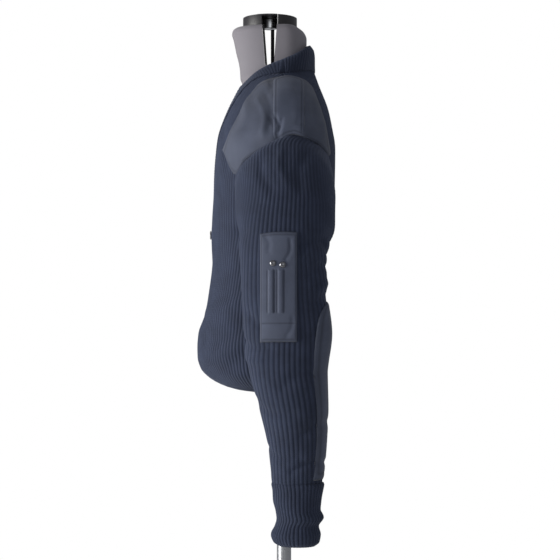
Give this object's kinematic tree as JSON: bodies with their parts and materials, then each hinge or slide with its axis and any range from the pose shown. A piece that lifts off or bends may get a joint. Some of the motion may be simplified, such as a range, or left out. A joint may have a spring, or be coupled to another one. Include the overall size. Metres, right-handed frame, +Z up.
{
  "type": "v-neck sweater on dress form",
  "caption": "Ribbed V-neck sweater with woven shoulder, elbow and sleeve-pocket patches, worn by a limbless dress form on a pole and round base.",
  "frame": {"origin": "middle of the bottom of the part's box, on the underside of the round base", "axes": "+Z up, the front faces -Y, the wearer's left is +X"},
  "size_m": [0.554, 0.36, 1.512],
  "materials": {
    "knit": "matt rib knit wool",
    "twill": "matt woven twill",
    "linen": "plain woven jersey cover",
    "cap": "black moulded",
    "chrome": "polished",
    "steel": "brushed"
  },
  "bodies": {
    "root": {"front": "knit", "back": "knit", "sleeve_left": "knit", "sleeve_right": "knit", "cuff_left": "knit", "cuff_right": "knit", "neckband": "knit", "shoulder_patch_left": "twill", "shoulder_patch_right": "twill", "epaulette_left": "twill", "epaulette_right": "twill", "elbow_patch_left": "twill", "elbow_patch_right": "twill", "pen_pocket": "twill", "pocket_rivet_1": "chrome", "pocket_rivet_2": "chrome", "chest_stud": "chrome", "form_body": "linen", "form_cap_front": "cap", "form_cap_back": "cap", "neck_rod": "cap", "neck_knob": "chrome", "pole": "steel", "base": "steel"}
  },
  "joints": []
}
